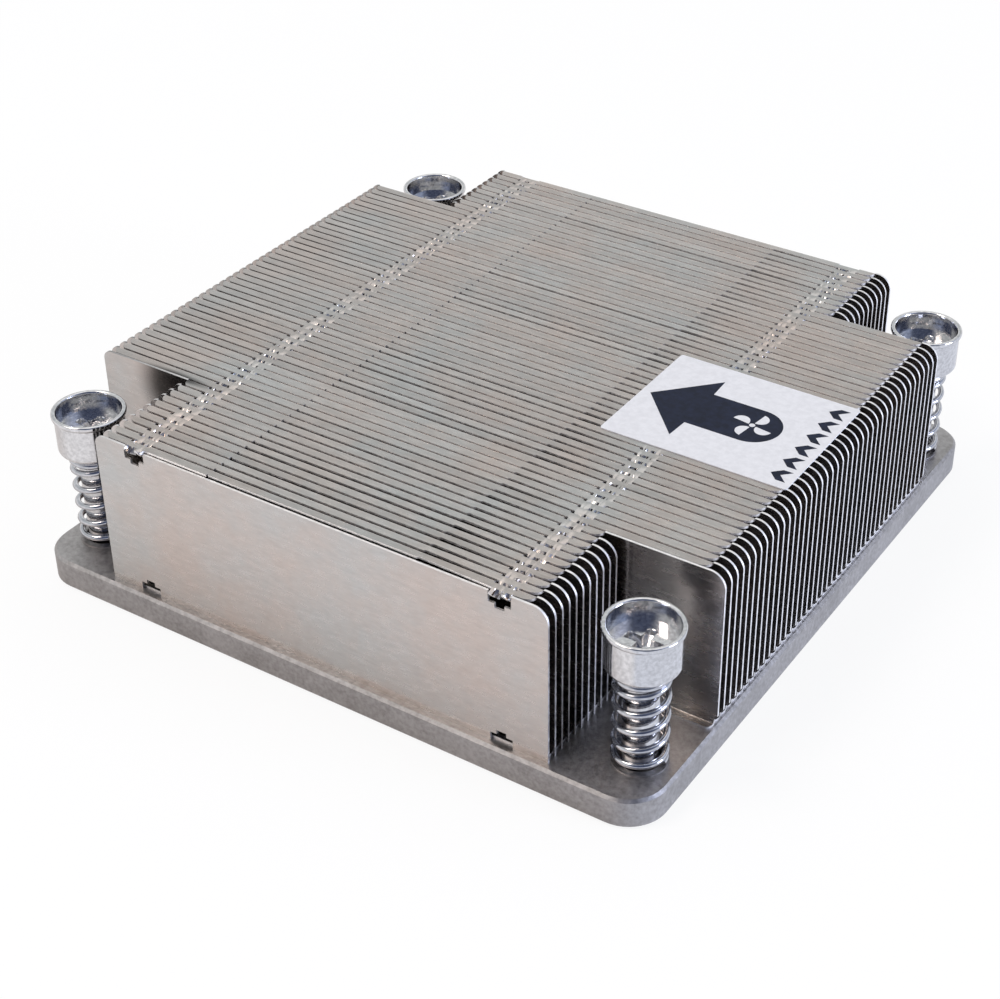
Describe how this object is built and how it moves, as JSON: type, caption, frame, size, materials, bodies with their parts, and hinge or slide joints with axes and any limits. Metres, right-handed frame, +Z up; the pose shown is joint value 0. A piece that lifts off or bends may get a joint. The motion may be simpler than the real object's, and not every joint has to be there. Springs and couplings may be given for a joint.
{
  "type": "server cpu heatsink",
  "caption": "Low passive CPU heatsink for a 1U server: a base plate with a stack of thin interlocked fins and spring-loaded captive screws at its corners.",
  "frame": {"origin": "centre of the base plate's flat underside, which rests on the processor", "axes": "+X along the air channels towards the air inlet, +Y across the fin stack away from the flat end panel, +Z up to the fin tops"},
  "size_m": [0.0907, 0.09, 0.0256],
  "materials": {
    "base_metal": "satin",
    "fin_metal": "satin",
    "screw_nickel": "polished",
    "spring_nickel": "polished",
    "ring_steel": "satin",
    "label_print": "matte"
  },
  "bodies": {
    "heatsink": {"base_plate": "base_metal", "end_panel": "fin_metal", "front_short_fins": "fin_metal", "long_fin_01": "fin_metal", "long_fin_02": "fin_metal", "long_fin_03": "fin_metal", "long_fin_04": "fin_metal", "long_fin_05": "fin_metal", "long_fin_06": "fin_metal", "long_fin_07": "fin_metal", "long_fin_08": "fin_metal", "long_fin_09": "fin_metal", "long_fin_10": "fin_metal", "long_fin_11": "fin_metal", "long_fin_12": "fin_metal", "long_fin_13": "fin_metal", "long_fin_14": "fin_metal", "long_fin_15": "fin_metal", "long_fin_16": "fin_metal", "long_fin_17": "fin_metal", "long_fin_18": "fin_metal", "long_fin_19": "fin_metal", "long_fin_20": "fin_metal", "long_fin_21": "fin_metal", "long_fin_22": "fin_metal", "long_fin_23": "fin_metal", "long_fin_24": "fin_metal", "long_fin_25": "fin_metal", "long_fin_26": "fin_metal", "long_fin_27": "fin_metal", "long_fin_28": "fin_metal", "long_fin_29": "fin_metal", "long_fin_30": "fin_metal", "long_fin_31": "fin_metal", "long_fin_32": "fin_metal", "long_fin_33": "fin_metal", "long_fin_34": "fin_metal", "long_fin_35": "fin_metal", "long_fin_36": "fin_metal", "long_fin_37": "fin_metal", "long_fin_38": "fin_metal", "long_fin_39": "fin_metal", "long_fin_40": "fin_metal", "long_fin_41": "fin_metal", "long_fin_42": "fin_metal", "back_short_fins": "fin_metal", "airflow_label": "label_print", "spring_front_left": "spring_nickel", "spring_front_right": "spring_nickel", "spring_back_left": "spring_nickel", "spring_back_right": "spring_nickel"},
    "retainer_front_left": {"retaining_ring_front_left": "ring_steel"},
    "screw_front_left": {"captive_screw_front_left": "screw_nickel"},
    "retainer_front_right": {"retaining_ring_front_right": "ring_steel"},
    "screw_front_right": {"captive_screw_front_right": "screw_nickel"},
    "retainer_back_left": {"retaining_ring_back_left": "ring_steel"},
    "screw_back_left": {"captive_screw_back_left": "screw_nickel"},
    "retainer_back_right": {"retaining_ring_back_right": "ring_steel"},
    "screw_back_right": {"captive_screw_back_right": "screw_nickel"}
  },
  "joints": [
    {"name": "press_front_left", "type": "slide", "parent": "heatsink", "child": "retainer_front_left", "axis": [0, 0, -1], "range_m": [0, 0.0045], "stiffness_N_per_m": 5100, "springref_m": -0.0005, "deforming": ["spring_front_left"]},
    {"name": "spin_front_left", "type": "hinge", "parent": "retainer_front_left", "child": "screw_front_left", "pos_m": [-0.04, -0.0375, 0.01], "axis": [0, 0, 1], "continuous": true},
    {"name": "press_front_right", "type": "slide", "parent": "heatsink", "child": "retainer_front_right", "axis": [0, 0, -1], "range_m": [0, 0.0045], "stiffness_N_per_m": 5100, "springref_m": -0.0005, "deforming": ["spring_front_right"]},
    {"name": "spin_front_right", "type": "hinge", "parent": "retainer_front_right", "child": "screw_front_right", "pos_m": [0.04, -0.0375, 0.01], "axis": [0, 0, 1], "continuous": true},
    {"name": "press_back_left", "type": "slide", "parent": "heatsink", "child": "retainer_back_left", "axis": [0, 0, -1], "range_m": [0, 0.0045], "stiffness_N_per_m": 5100, "springref_m": -0.0005, "deforming": ["spring_back_left"]},
    {"name": "spin_back_left", "type": "hinge", "parent": "retainer_back_left", "child": "screw_back_left", "pos_m": [-0.04, 0.0375, 0.01], "axis": [0, 0, 1], "continuous": true},
    {"name": "press_back_right", "type": "slide", "parent": "heatsink", "child": "retainer_back_right", "axis": [0, 0, -1], "range_m": [0, 0.0045], "stiffness_N_per_m": 5100, "springref_m": -0.0005, "deforming": ["spring_back_right"]},
    {"name": "spin_back_right", "type": "hinge", "parent": "retainer_back_right", "child": "screw_back_right", "pos_m": [0.04, 0.0375, 0.01], "axis": [0, 0, 1], "continuous": true}
  ]
}
